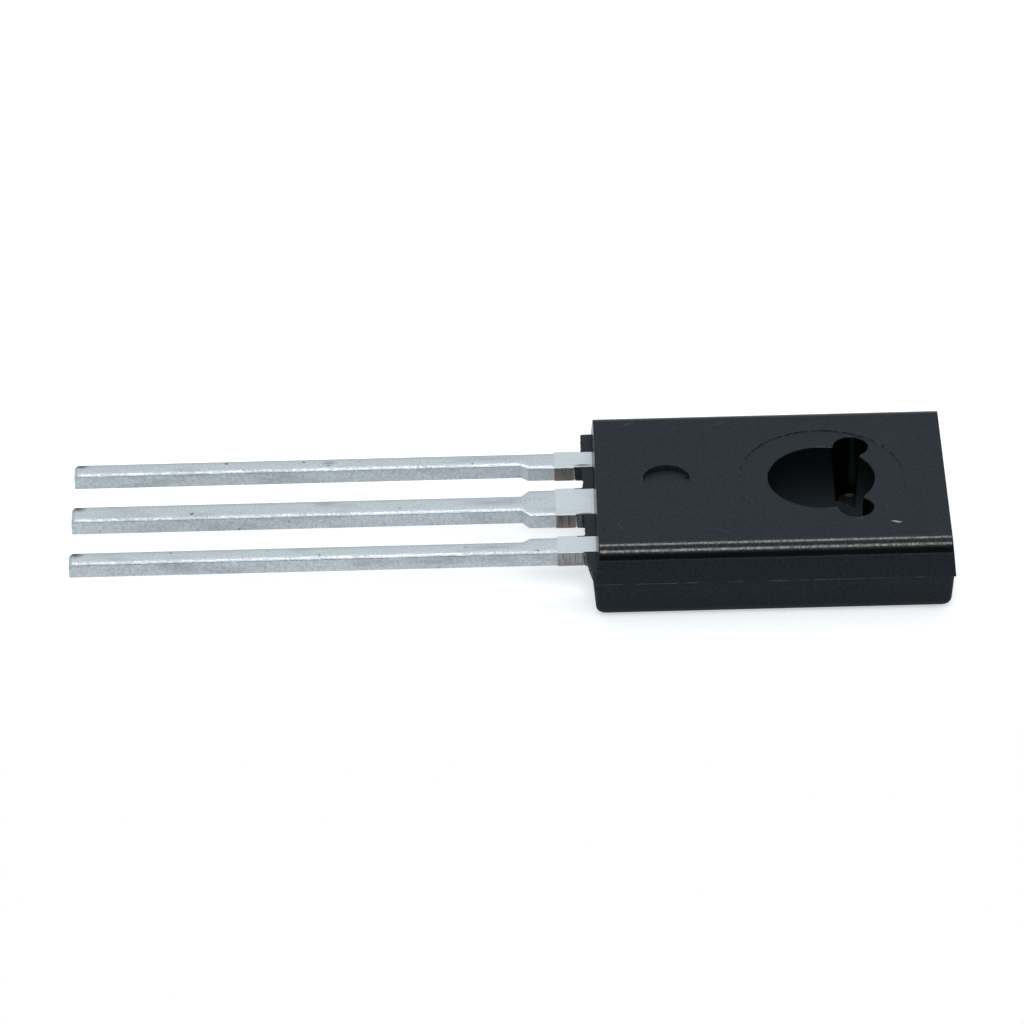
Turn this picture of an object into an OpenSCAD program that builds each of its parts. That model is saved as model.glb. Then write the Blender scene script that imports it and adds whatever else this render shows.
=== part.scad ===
// Thyristor in a TO-225AA (TO-126) tab package with straight leads.
// The origin is where the axis of the screw hole meets the mounting plane, the back of the tab.
// +X points to the screw end, the leads run towards -X, +Y is the cathode side, +Z leaves the front face.

/* [Case] */
// Length of the moulded case at the parting plane
case_length = 10.97; // [9.2:0.01:13.2]
// Width of the moulded case at the parting plane
case_width = 7.62; // [6.9:0.01:9.2]
// Thickness of the case, from the mounting plane to the front face
case_thickness = 2.54; // [2.42:0.01:3.1]
// Distance from the hole's axis to the screw end of the case
hole_to_end = 3.92; // [3.3:0.005:4.6]
// Draft of the walls over the parting plane, in degrees
upper_draft = 5; // [2:0.5:7]
// Draft of the walls under the parting plane, in degrees
lower_draft = 4.5; // [2:0.5:7]
// Radius of the two long edges of the front face
front_edge_radius = 0.44; // [0.1:0.01:0.5]
// Radius of the edges round the back face
back_edge_radius = 0.45; // [0.1:0.01:0.5]
// Ledge that the upper mould half leaves along the parting plane
parting_ledge = 0.04; // [0.01:0.01:0.08]
// How far the lower half of the case reaches past the upper half at the lead end
lower_half_shift = 0.08; // [0:0.01:0.08]

/* [Screw hole] */
// Diameter of the screw hole through the plastic
hole_diameter = 3.28; // [2.7:0.01:3.6]
// Distance of the clamp-pin ears from the hole's axis, along the case
ear_offset_x = 0.99; // [0.9:0.01:1.1]
// Distance of the clamp-pin ears from the hole's axis, across the case
ear_offset_y = 1.64; // [1.5:0.01:1.8]
// Radius of an ear at the front face
ear_radius = 0.54; // [0.45:0.01:0.65]
// Draft of an ear, in degrees
ear_draft = 5; // [2:0.5:6]
// Diameter of the shallow round recess about the hole
ring_diameter = 5.06; // [4.6:0.01:6.1]
// Depth of the shallow round recess about the hole
ring_depth = 0.03; // [0.01:0.01:0.06]

/* [Ejector mark] */
// Diameter of the ejector-pin mark
ejector_diameter = 1.44; // [1:0.01:1.8]
// Depth of the ejector-pin mark
ejector_depth = 0.17; // [0.02:0.01:0.2]
// Distance of the ejector-pin mark from the lead end of the case
ejector_from_lead_end = 2.3; // [2:0.01:2.8]

/* [Leads] */
// Thickness of the lead frame's strip
strip_thickness = 0.5; // [0.4:0.01:0.6]
// Height of the parting plane and of the leads' underside over the mounting plane
lead_height = 1.32; // [1.15:0.01:1.6]
// Spacing of the leads
lead_pitch = 2.39; // [2.2:0.01:2.6]
// Free length of the leads, from the lead end of the case
lead_length = 16.07; // [13:0.005:20]
// Length of the wide part of the leads, from the lead end of the case
wide_length = 1.96; // [1.3:0.005:2.41]
// Length of the taper between the wide part and the narrow part
taper_length = 0.23; // [0.1:0.01:0.5]
// Width of the centre lead
centre_width = 0.8; // [0.64:0.01:0.96]
// Width of the centre lead's wide part
centre_wide_width = 1.37; // [1.1:0.01:1.6]
// Width of an outer lead
outer_width = 0.64; // [0.5:0.01:0.76]
// Width of an outer lead's wide part
outer_wide_width = 0.82; // [0.76:0.01:1]
// Bevel that shearing leaves on the upper edge of each tip
tip_bevel = 0.1; // [0.02:0.01:0.2]

/* [Dam bar] */
// Distance from the lead end of the case to the sheared dam bar
dam_bar_gap = 0.54; // [0.52:0.005:0.7]
// Width of the dam bar, along the leads
dam_bar_width = 0.6; // [0.4:0.01:0.7]
// How far the sheared dam bar stands proud of a lead
dam_bar_stub = 0.04; // [0.02:0.01:0.08]

/* [Moulding flash] */
// Reach of the flash between the leads, from the lead end of the case
flash_reach = 0.25; // [0.15:0.01:0.26]
// Radius of the fillets where the flash meets the sides of the leads
flash_fillet_radius = 0.1; // [0.05:0.01:0.15]
// Thickness of the flash that stays on the sides of the leads
flash_skin = 0.03; // [0.02:0.01:0.05]
// Length of the flash that stays on the sides of the leads, from the flash's edge
flash_skin_length = 0.26; // [0.2:0.01:0.26]
// Distance of the flash's outer ends from the long sides of the case
flash_inset = 0.13; // [0.05:0.01:0.3]

/* [Heat-sink tab] */
// Distance from the lead end of the case to the tab
tab_from_lead_end = 1.9; // [1.75:0.01:2.1]
// Width of plastic between the tab and the screw end of the case
tab_end_rim = 0.55; // [0.3:0.01:0.8]
// Width of plastic between the tab and each long side of the case
tab_side_rim = 0.65; // [0.5:0.01:0.8]
// Width of the locking step that is coined into the tab's edges
tab_lock_width = 0.2; // [0.1:0.01:0.3]
// Height of the locking step over the mounting plane
tab_lock_height = 0.25; // [0.15:0.01:0.35]
// Thickness of the plastic lining in the tab's hole
hole_lining = 0.18; // [0.16:0.01:0.3]
// Length of the anode lead inside the case before it bends down to the tab
anode_straight = 0.3; // [0.2:0.01:0.4]
// Radius of the two bends, at the middle of the strip
bend_radius = 0.5; // [0.35:0.01:0.55]

/* [Bond posts] */
// Distance from the lead end of the case to a bond post
post_from_lead_end = 0.5; // [0.4:0.01:0.7]
// Length of a bond post, along the case
post_length = 1.2; // [0.9:0.01:1.4]
// Distance of a bond post from the centre plane
post_inner = 1.15; // [1:0.01:1.4]
// Width of plastic between a bond post and the long side of the case
post_side_rim = 0.56; // [0.45:0.01:0.8]

/* [Die] */
// Side of the square silicon die
die_size = 2; // [1.6:0.01:2.4]
// Thickness of the die
die_thickness = 0.25; // [0.2:0.01:0.3]
// Distance of the die from the tab's edge
die_margin = 0.5; // [0.3:0.01:0.6]
// How far the solder shows round the die
solder_margin = 0.1; // [0.05:0.01:0.15]
// Thickness of the solder under the die
solder_thickness = 0.05; // [0.03:0.01:0.08]

/* [Bond wires] */
// Diameter of the cathode's bond wire
cathode_wire_diameter = 0.3; // [0.2:0.01:0.36]
// Diameter of the gate's bond wire
gate_wire_diameter = 0.15; // [0.1:0.01:0.18]
// Distance of the cathode's bond from the middle of the die
cathode_bond_offset = 0.15; // [0:0.01:0.3]
// Distance of the gate's bond from the two nearest edges of the die
gate_bond_inset = 0.4; // [0.25:0.01:0.5]
// Angle at which a bond wire leaves its post, in degrees
launch_angle = 15; // [5:1:18]
// Length of a wedge bond, in wire diameters
bond_length = 1.6; // [1.2:0.1:2]

/* [Hidden] */
$fn = 48;

plastic = "#2b3238";
tin = "#bfc4c8";
silicon = "#5a6068";
solder = "#8f959b";
aluminium = "#dcdde0";

// Straight pieces in the arc of an outline
arc_steps = 8;
// How far a cut runs past the face that it opens
cut = 1;

// Places along the case
lead_end = hole_to_end - case_length;
lead_tip = lead_end - lead_length;
wide_end = lead_end - wide_length;
dam_bar_start = lead_end - dam_bar_gap - dam_bar_width;
bend_start = lead_end + anode_straight;
tab_start = lead_end + tab_from_lead_end;
tab_end = hole_to_end - tab_end_rim;
post_start = lead_end + post_from_lead_end;

// Places across the case
outer_lead_side = lead_pitch + outer_width / 2;
outer_lead_inner = outer_lead_side - outer_wide_width;
centre_lead_side = centre_wide_width / 2;
post_outer = case_width / 2 - post_side_rim;
tab_width = case_width - 2 * tab_side_rim;

// Heights over the mounting plane
lead_top = lead_height + strip_thickness;
solder_top = strip_thickness + solder_thickness;
die_top = solder_top + die_thickness;

// Ends of the bond wires
die_x = tab_start + die_margin + die_size / 2;
gate_pad = die_size / 2 - gate_bond_inset;
post_x = post_start + post_length / 2;
post_y = (post_inner + post_outer) / 2;
cathode_wire_ends = [[post_x, post_y, lead_top], [die_x, cathode_bond_offset, die_top]];
gate_wire_ends = [[post_x, -post_y, lead_top], [die_x - gate_pad, -gate_pad, die_top]];

// Points of an arc from one angle to another, in degrees
function arc(centre, radius, from, to) = [
    for (i = [0 : arc_steps])
        let (angle = from + (to - from) * i / arc_steps)
            centre + radius * [cos(angle), sin(angle)]
];

// The same points mirrored to the other side and in the other order
function mirrored(points) = [for (i = [len(points) - 1 : -1 : 0]) [-points[i].x, points[i].y]];

// Rounded corner between a drafted wall and the front face, from the wall up
function front_corner(wall) =
    let (top = wall - (case_thickness - lead_height) * tan(upper_draft))
        arc(
            [top - corner_setback(front_edge_radius, upper_draft), case_thickness - front_edge_radius],
            front_edge_radius, upper_draft, 90
        );

// Rounded corner between the back face and a drafted wall, from the back up
function back_corner(wall) =
    let (bottom = wall - lead_height * tan(lower_draft))
        arc(
            [bottom - corner_setback(back_edge_radius, lower_draft), back_edge_radius],
            back_edge_radius, -90, -lower_draft
        );

// Distance from where a drafted wall meets a level face to the centre of the corner's radius
function corner_setback(radius, draft) = radius * (1 - sin(draft)) / cos(draft);

// Extrudes an outline along the case: its first axis lies across the case and its second one upwards
module along_case() {
    rotate([90, 0, 90])
        linear_extrude(height = 4 * case_length, center = true)
            children();
}

// Extrudes an outline across the case: its first axis lies along the case and its second one upwards
module across_case() {
    rotate([90, 0, 0])
        linear_extrude(height = 2 * case_width, center = true)
            children();
}

// The case over the parting plane: drafted ends with sharp edges, and long edges that are rounded
module upper_half() {
    half_width = case_width / 2;
    end_setback = (case_thickness - lead_height) * tan(upper_draft);
    intersection() {
        along_case()
            polygon(concat(
                [[-half_width, lead_height], [half_width, lead_height]],
                front_corner(half_width),
                mirrored(front_corner(half_width))
            ));
        across_case()
            polygon([
                [lead_end, lead_height],
                [hole_to_end, lead_height],
                [hole_to_end - end_setback, case_thickness],
                [lead_end + end_setback, case_thickness]
            ]);
    }
}

// The case under the parting plane: one ledge smaller, with rounded edges all round the back
module lower_half() {
    half_width = case_width / 2 - parting_ledge;
    screw_wall = hole_to_end - parting_ledge;
    lead_wall = lower_half_shift - lead_end;
    intersection() {
        along_case()
            polygon(concat(
                mirrored(back_corner(half_width)),
                back_corner(half_width),
                [[half_width, lead_height], [-half_width, lead_height]]
            ));
        across_case()
            polygon(concat(
                mirrored(back_corner(lead_wall)),
                back_corner(screw_wall),
                [[screw_wall, lead_height], [-lead_wall, lead_height]]
            ));
    }
}

// Flash in the plane of the leads, where the mould closes on the strip between them.
// Beside the gate lead it is broken off along a slant.
module flash() {
    edge = lead_end - flash_reach;
    root = lead_end + flash_reach;
    end = case_width / 2 - flash_inset;
    translate([0, 0, lead_height])
        linear_extrude(height = strip_thickness) {
            translate([edge, -outer_lead_side])
                square([root - edge, outer_lead_side + end]);
            polygon([
                [edge - flash_fillet_radius, -outer_lead_side],
                [edge, -outer_lead_side - flash_fillet_radius],
                [lead_end - lower_half_shift, -end],
                [root, -end],
                [root, -outer_lead_side]
            ]);
            flash_fillet(edge, centre_lead_side, 1);
            flash_fillet(edge, outer_lead_inner, -1);
            flash_fillet(edge, -centre_lead_side, -1);
            flash_fillet(edge, -outer_lead_inner, 1);
        }
}

// Flash that climbs the side of a lead from the edge, on the lead's +Y or -Y side
module flash_fillet(edge, lead_side, direction) {
    tail = edge - flash_skin_length;
    centre = [edge - flash_fillet_radius, flash_skin + flash_fillet_radius];
    translate([0, lead_side])
        scale([1, direction])
            polygon(concat(
                [[tail, 0], [edge, 0]],
                arc(centre, flash_fillet_radius, 0, -90),
                [[tail, flash_skin]]
            ));
}

// Screw hole, the two ears where mould pins held the tab down, and the shallow recess about them
module screw_hole() {
    ear_height = case_thickness - strip_thickness;
    translate([0, 0, -cut])
        cylinder(d = hole_diameter, h = case_thickness + 2 * cut);
    for (side = [-1, 1])
        translate([ear_offset_x, side * ear_offset_y, strip_thickness])
            cylinder(
                r1 = ear_radius - ear_height * tan(ear_draft),
                r2 = ear_radius + cut * tan(ear_draft),
                h = ear_height + cut
            );
    translate([0, 0, case_thickness - ring_depth])
        cylinder(d = ring_diameter, h = cut);
}

// Round mark of the ejector pin on the front face
module ejector_mark() {
    translate([lead_end + ejector_from_lead_end, 0, case_thickness - ejector_depth])
        cylinder(d = ejector_diameter, h = cut);
}

// Epoxy case, moulded round everything that it holds
module moulded_case() {
    color(plastic)
        difference() {
            union() {
                upper_half();
                lower_half();
                flash();
            }
            screw_hole();
            ejector_mark();
            anode_frame();
            cathode_lead();
            gate_lead();
            silicon_die();
            die_solder();
            cathode_wire();
            gate_wire();
        }
}

// Stub of the sheared dam bar on both sides of a lead
module dam_bar_stubs(inner, outer) {
    translate([dam_bar_start, inner - dam_bar_stub])
        square([dam_bar_width, outer - inner + 2 * dam_bar_stub]);
}

// Plan of the anode frame: the centre lead and the tab
module anode_blank() {
    narrow = centre_width / 2;
    polygon([
        [lead_tip, -narrow],
        [wide_end - taper_length, -narrow],
        [wide_end, -centre_lead_side],
        [tab_start, -centre_lead_side],
        [tab_start, centre_lead_side],
        [wide_end, centre_lead_side],
        [wide_end - taper_length, narrow],
        [lead_tip, narrow]
    ]);
    dam_bar_stubs(-centre_lead_side, centre_lead_side);
    translate([tab_start, -tab_width / 2])
        square([tab_end - tab_start, tab_width]);
}

// Side view of the anode frame: the lead steps down to the tab in two equal bends
module anode_profile() {
    run = tab_start - bend_start;
    fall = lead_height - 2 * bend_radius;
    straight = sqrt(run * run + fall * fall - 4 * bend_radius * bend_radius);
    bend = atan2(2 * bend_radius, straight) + atan2(fall, run);
    half = strip_thickness / 2;
    upper = [bend_start, lead_height + half - bend_radius];
    lower = [tab_start, half + bend_radius];
    polygon(concat(
        [[lead_tip, lead_height]],
        arc(upper, bend_radius - half, 90, 90 - bend),
        arc(lower, bend_radius + half, -90 - bend, -90),
        [[tab_end, 0], [tab_end, strip_thickness]],
        arc(lower, bend_radius - half, -90, -90 - bend),
        arc(upper, bend_radius + half, 90 - bend, 90),
        [[lead_tip + tip_bevel, lead_top], [lead_tip, lead_top - tip_bevel]]
    ));
}

// Metal that is coined away under the tab's three free edges, so that the plastic holds it
module tab_lock() {
    linear_extrude(height = tab_lock_height)
        difference() {
            translate([tab_start, -tab_width / 2 - cut])
                square([tab_end - tab_start + cut, tab_width + 2 * cut]);
            translate([tab_start - cut, -tab_width / 2 + tab_lock_width])
                square([tab_end - tab_start + cut - tab_lock_width, tab_width - 2 * tab_lock_width]);
        }
}

// Heat-sink tab and centre lead, stamped and bent from one strip
module anode_frame() {
    color(tin)
        difference() {
            intersection() {
                linear_extrude(height = case_thickness)
                    anode_blank();
                across_case()
                    anode_profile();
            }
            tab_lock();
            translate([0, 0, -cut])
                cylinder(r = hole_diameter / 2 + hole_lining, h = strip_thickness + 2 * cut);
        }
}

// Plan of the cathode lead: the lead and its bond post
module outer_blank() {
    narrow = outer_lead_side - outer_width;
    polygon([
        [lead_tip, narrow],
        [wide_end - taper_length, narrow],
        [wide_end, outer_lead_inner],
        [post_start, outer_lead_inner],
        [post_start, outer_lead_side],
        [lead_tip, outer_lead_side]
    ]);
    dam_bar_stubs(outer_lead_inner, outer_lead_side);
    translate([post_start, post_inner])
        square([post_length, post_outer - post_inner]);
}

// Outer lead on the +Y side
module outer_lead() {
    intersection() {
        linear_extrude(height = case_thickness)
            outer_blank();
        across_case()
            polygon([
                [lead_tip, lead_height],
                [post_start + post_length, lead_height],
                [post_start + post_length, lead_top],
                [lead_tip + tip_bevel, lead_top],
                [lead_tip, lead_top - tip_bevel]
            ]);
    }
}

module cathode_lead() {
    color(tin)
        outer_lead();
}

module gate_lead() {
    color(tin)
        mirror([0, 1, 0])
            outer_lead();
}

// Square plate centred on the die's place, from one height to another
module die_plate(side, bottom, top) {
    translate([die_x - side / 2, -side / 2, bottom])
        cube([side, side, top - bottom]);
}

module silicon_die() {
    color(silicon)
        die_plate(die_size, solder_top, die_top);
}

module die_solder() {
    color(solder)
        die_plate(die_size + 2 * solder_margin, strip_thickness, solder_top);
}

// Wedge bond: wire flattened on the pad, thin at the toe and thick at the heel, which is at the origin
module wedge_bond(radius) {
    length = bond_length * 2 * radius;
    across_wire(2.6 * radius)
        polygon([
            [-length, 0],
            [radius, 0],
            [0.3 * radius, 1.8 * radius],
            [-length, 0.7 * radius]
        ]);
}

// Extrudes an outline across a wire that runs along X
module across_wire(width) {
    rotate([90, 0, 0])
        linear_extrude(height = width, center = true)
            children();
}

// Bond wire from a post down to the die: one arc between two wedge bonds
module bond_wire(ends, diameter) {
    radius = diameter / 2;
    way = ends[1] - ends[0];
    run = norm([way.x, way.y]);
    drop = -way.z;
    slope = atan2(drop, run);
    loop = (run * run + drop * drop) / (2 * (run * sin(launch_angle) + drop * cos(launch_angle)));
    sweep = 2 * (launch_angle + slope);
    translate(ends[0])
        rotate([0, 0, atan2(way.y, way.x)]) {
            wedge_bond(radius);
            translate([loop * sin(launch_angle), 0, radius - loop * cos(launch_angle)])
                rotate([90, 0, 0])
                    rotate([0, 0, 90 + launch_angle - sweep])
                        rotate_extrude(angle = sweep)
                            translate([loop, 0])
                                circle(r = radius);
            translate([run, 0, -drop])
                mirror([1, 0, 0])
                    wedge_bond(radius);
        }
}

module cathode_wire() {
    color(aluminium)
        bond_wire(cathode_wire_ends, cathode_wire_diameter);
}

module gate_wire() {
    color(aluminium)
        bond_wire(gate_wire_ends, gate_wire_diameter);
}

moulded_case();
anode_frame();
cathode_lead();
gate_lead();
silicon_die();
die_solder();
cathode_wire();
gate_wire();
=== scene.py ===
"""Thyristor in a TO-225AA tab package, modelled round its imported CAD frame.

Every piece is modelled in millimetres, where Blender's own merge distances are safe,
and its mesh is brought down to metres at the end.
"""

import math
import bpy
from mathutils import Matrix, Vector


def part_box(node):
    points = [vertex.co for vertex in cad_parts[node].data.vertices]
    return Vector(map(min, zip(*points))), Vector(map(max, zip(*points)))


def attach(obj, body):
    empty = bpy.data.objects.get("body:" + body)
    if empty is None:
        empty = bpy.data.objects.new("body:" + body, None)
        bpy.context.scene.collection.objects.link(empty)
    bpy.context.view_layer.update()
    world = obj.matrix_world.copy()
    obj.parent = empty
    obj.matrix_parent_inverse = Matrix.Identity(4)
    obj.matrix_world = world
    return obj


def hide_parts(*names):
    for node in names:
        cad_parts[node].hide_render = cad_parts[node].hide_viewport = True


bl_info = {
    "name": "Tab Thyristor",
    "version": (1, 0, 0),
    "blender": (4, 5, 0),
    "location": "View3D > Sidebar > Thyristor",
    "description": "Models a tab-package thyristor with its leads, moulding flash and studio stage",
    "category": "Add Mesh",
}

import bmesh
import bpy
from mathutils import Matrix, Vector, noise

MM = 0.001
# Half height in millimetres of a spot that a material lays on a level face
SPOT_DEPTH = 0.2
# Bevel in millimetres of the leads' lower edges, and of the upper ones where the dam bar pressed them
FOOT_BEVEL = 0.02
# Power of a rolled edge's profile, nearly flat at the top and tighter towards the side
ROLL_POWER = 0.65
# Shortest distance in millimetres between two rings of a loft
STEP = 0.001
# How far in millimetres a cutter reaches past the face that it opens
PAST = 1

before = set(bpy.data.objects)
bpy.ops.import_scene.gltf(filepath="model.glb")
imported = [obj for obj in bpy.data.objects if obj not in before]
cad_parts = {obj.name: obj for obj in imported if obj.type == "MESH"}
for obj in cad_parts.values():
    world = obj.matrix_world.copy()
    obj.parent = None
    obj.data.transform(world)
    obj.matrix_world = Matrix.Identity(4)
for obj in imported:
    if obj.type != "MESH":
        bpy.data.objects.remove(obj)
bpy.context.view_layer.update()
CASE_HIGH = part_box("moulded_case")[1] / MM
FRAME_LOW, FRAME_HIGH = (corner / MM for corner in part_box("anode_frame"))
LEAD_LOW, LEAD_HIGH = (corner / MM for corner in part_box("cathode_lead"))


def length(name, description, size):
    """A length property whose default is given in millimetres."""
    return bpy.props.FloatProperty(
        name=name, description=description, default=size * MM, min=0, unit="LENGTH", precision=5
    )


def angle(name, description, degrees):
    """An angle property whose default is given in degrees."""
    return bpy.props.FloatProperty(
        name=name, description=description, default=math.radians(degrees), unit="ROTATION"
    )


def linear(code):
    """The linear colour of an sRGB hex value."""
    channels = (int(code[i : i + 2], 16) / 255 for i in (1, 3, 5))
    return tuple(c / 12.92 if c <= 0.04045 else ((c + 0.055) / 1.055) ** 2.4 for c in channels)


def colour(name, description, code):
    """A colour property whose default is given as an sRGB hex value."""
    return bpy.props.FloatVectorProperty(
        name=name, description=description, default=linear(code), size=3, min=0, max=1, subtype="COLOR"
    )


class ThyristorCase(bpy.types.PropertyGroup):
    """Sizes of the moulded case."""

    length: length("Length", "Length of the case at the parting plane", 10.97)
    upper_draft: angle("Upper draft", "Draft of the walls over the parting plane", 5)
    lower_draft: angle("Lower draft", "Draft of the walls under the parting plane", 4.5)
    front_radius: length("Front edge radius", "Radius of the two long edges of the front face", 0.44)
    back_radius: length("Back edge radius", "Radius of the edges round the back face", 0.45)
    corner_radius: length("Corner radius", "Radius of the four upright corners of the lower half", 0.12)
    edge_break: length("Edge break", "Radius of the edges round the upper half's end walls", 0.035)
    ledge: length("Parting ledge", "Ledge of the upper half at the parting plane", 0.04)
    shift: length("Lower half shift", "Reach of the lower half past the lead end", 0.08)
    hole_radius: length("Hole radius", "Radius of the screw hole", 1.64)
    ear_x: length("Ear offset along", "Distance of the ears from the hole's axis, along the case", 0.99)
    ear_y: length("Ear offset across", "Distance of the ears from the hole's axis, across the case", 1.64)
    ear_radius: length("Ear radius", "Radius of an ear at the front face", 0.54)
    ear_draft: angle("Ear draft", "Draft of an ear", 5)
    cusp_radius: length("Cusp radius", "Radius of the plastic corners between hole and ears", 0.09)
    rim_radius: length("Rim radius", "Radius of the hole's edge at the front", 0.045)
    lip_radius: length("Lip radius", "Radius of the hole's edge at the foot of the ears", 0.05)
    ring_radius: length("Ring radius", "Radius of the shallow recess about the hole", 2.53)
    ring_depth: length("Ring depth", "Depth of the shallow recess about the hole", 0.03)
    mark_radius: length("Mark radius", "Radius of the ejector-pin mark", 0.72)
    mark_depth: length("Mark depth", "Depth of the ejector-pin mark", 0.17)
    mark_place: length("Mark place", "Distance of the ejector-pin mark from the lead end", 2.28)
    mark_shift: length("Mark shift", "Distance of the ejector-pin mark from the middle plane", 0.09)
    lining: length("Hole lining", "Thickness of the plastic lining in the tab's hole", 0.18)


class ThyristorFlash(bpy.types.PropertyGroup):
    """Sizes of the flash between the leads."""

    reach: length("Reach", "Reach of the flash from the lead end of the case", 0.25)
    fillet: length("Fillet radius", "Radius where the flash meets a lead", 0.1)
    skin: length("Skin", "Thickness of the flash on the sides of the leads", 0.03)
    skin_length: length("Skin length", "Length of the flash on the sides of the leads", 0.26)
    inset: length("Inset", "Distance of the flash from the long sides of the case", 0.13)
    lean: length("Lean", "How far the flash's upper edge reaches past its lower one", 0.05)
    tear: length("Tear", "Unevenness of the torn edge", 0.02)


class ThyristorLeads(bpy.types.PropertyGroup):
    """Sizes of the lead frame."""

    pitch: length("Pitch", "Spacing of the leads", 2.39)
    wide_length: length("Wide length", "Length of the wide part from the lead end of the case", 1.96)
    taper: length("Taper", "Length of the taper between the wide and the narrow part", 0.23)
    centre_width: length("Centre width", "Width of the centre lead", 0.8)
    centre_wide: length("Centre wide width", "Width of the centre lead's wide part", 1.37)
    outer_width: length("Outer width", "Width of an outer lead", 0.64)
    outer_wide: length("Outer wide width", "Width of an outer lead's wide part", 0.82)
    tip_bevel: length("Tip bevel", "Bevel of the upper edge of each tip", 0.1)
    roll_width: length("Roll width", "Width of the rolled edge that stamping leaves", 0.24)
    roll_depth: length("Roll depth", "Depth of the rolled edge that stamping leaves", 0.075)
    bar_gap: length("Dam bar gap", "Distance from the case to the sheared dam bar", 0.54)
    bar_width: length("Dam bar width", "Width of the dam bar along the leads", 0.6)
    bar_longer: length("Longer dam bar cut", "How far the cut runs on at the outer side of a lead", 0.19)
    bar_stub: length("Dam bar stub", "How far the sheared dam bar stands proud", 0.04)
    tab_from_end: length("Tab place", "Distance from the lead end of the case to the tab", 1.9)
    lock_width: length("Lock width", "Width of the locking step under the tab's edges", 0.2)
    lock_height: length("Lock height", "Height of the locking step over the mounting plane", 0.25)
    straight: length("Straight", "Length of the centre lead inside the case before its bend", 0.3)
    bend_radius: length("Bend radius", "Radius of the two bends at the middle of the strip", 0.5)
    dimple_x: length("Dimple offset along", "Distance of the dimples from the hole, along the case", 0.99)
    dimple_y: length("Dimple offset across", "Distance of the dimples from the hole, across the case", 1.64)
    dimple_radius: length("Dimple radius", "Radius of the dimples that the mould pins leave in the tab", 0.42)
    dimple_depth: length("Dimple depth", "Depth of the dimples that the mould pins leave in the tab", 0.01)
    post_from_end: length("Post place", "Distance from the lead end of the case to a bond post", 0.5)


class ThyristorColours(bpy.types.PropertyGroup):
    """Colours of the finishes."""

    epoxy: colour("Epoxy", "Moulded epoxy compound", "#0b1821")
    epoxy_polished: colour("Polished epoxy", "Epoxy on the polished long edges", "#07090b")
    # Also the painted shade near the front of the hole's wall and in the pit beside the ejector mark
    epoxy_pin_and_shade: colour("Pin-polished epoxy", "Epoxy in the ears of the hole", "#050708")
    # Painted light towards the back of the hole's wall
    epoxy_hole_painted_light: colour("Hole epoxy", "Epoxy at the foot of the hole", "#333b42")
    epoxy_mark: colour("Mark epoxy", "Wall of the ejector mark", "#1c1d1b")
    epoxy_torn: colour("Torn epoxy", "Broken faces of the flash", "#252c33")
    epoxy_glossy: colour("Glossy epoxy", "Resin that ran along the lead, brown-black", "#120e10")
    # Also painted highlights: along the thin edge at the parting plane and in dots round the recess
    epoxy_rubbed_and_highlight: colour("Rubbed epoxy", "Light edge at the parting plane", "#6c7378")
    epoxy_scuffed: colour("Scuffed epoxy", "Scuffs on the front face", "#c4c9cd")
    # Also the painted highlight streak down the walls of the ears
    epoxy_worn_and_highlight: colour("Worn epoxy", "Rubbed edges of the moulding", "#3a3f44")
    tin: colour("Tin", "Matt tin plating on the leads", "#e0e5e8")
    tin_dull: colour("Dull tin", "Scuffed tin plating", "#c6cbce")
    tin_kept: colour("Kept tin", "Tin beside the case, which the dam bar kept", "#e3e7ea")
    tin_scuffed: colour("Scuffed tin", "Long scuffs along the leads", "#a3a8aa")
    tin_dirt: colour("Dirt", "Dark specks on the tin", "#4c4f50")
    # Painted glint on the tab's tin at the far side of each ear
    tin_painted_glint: colour("Worn tin", "Tin that the mould pins have scraped bare", "#545041")
    # Painted shade on the tab's tin at the foot of the ears, in a darker and a lighter tone
    ear_foot_shade: colour("Resin film", "Brown film of resin at the foot of the ears", "#14110f")
    ear_foot_lighter_shade: colour("Thinner resin film", "The same film where it is thinner", "#27211a")
    resin_thin: colour("Thin resin", "Resin skin on the lead, through which the tin shows", "#7d858a")
    copper: colour("Copper", "Sheared copper of the dam bar", "#6f6359")
    copper_grey: colour("Grey copper", "Tin that the punch drew over the copper", "#9a9994")
    copper_bright: colour("Bright copper", "Burr at the foot of the sheared copper", "#ad8a78")
    silicon: colour("Silicon", "Passivated silicon die", "#4b5058")
    solder: colour("Solder", "Die-attach solder", "#9b9fa3")
    aluminium: colour("Aluminium", "Aluminium bond wire", "#d9dadc")
    card: colour("Card", "White card that the object lies on", "#f4f5f6")


class ThyristorStage(bpy.types.PropertyGroup):
    """Camera and light."""

    azimuth: angle("Azimuth", "Turn of the camera about the object", -0.18896)
    elevation: angle("Elevation", "Height of the camera over the horizon", 34.65265)
    roll: angle("Roll", "Turn of the camera about its own axis", -1.34321)
    distance: length("Distance", "Distance of the camera", 208.449)
    across: bpy.props.FloatProperty(
        name="Across", description="Sideways place of the camera", default=-9.56543 * MM, unit="LENGTH"
    )
    along: bpy.props.FloatProperty(
        name="Up", description="Upward place of the camera", default=0.98026 * MM, unit="LENGTH"
    )
    lens: bpy.props.FloatProperty(
        name="Lens", description="Focal length in millimetres", default=236.43, unit="CAMERA"
    )


# Modelling helpers


def activate(piece):
    """Makes the piece the only selected object."""
    if bpy.context.mode != "OBJECT":
        bpy.ops.object.mode_set(mode="OBJECT")
    bpy.ops.object.select_all(action="DESELECT")
    piece.select_set(True)
    bpy.context.view_layer.objects.active = piece


def place(piece, name, scale=(1, 1, 1)):
    """Names a new primitive and puts its place and scale into its mesh."""
    piece.name = name
    piece.data.name = name
    piece.scale = scale
    bpy.ops.object.transform_apply(location=True, rotation=True, scale=True)
    return piece


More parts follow.
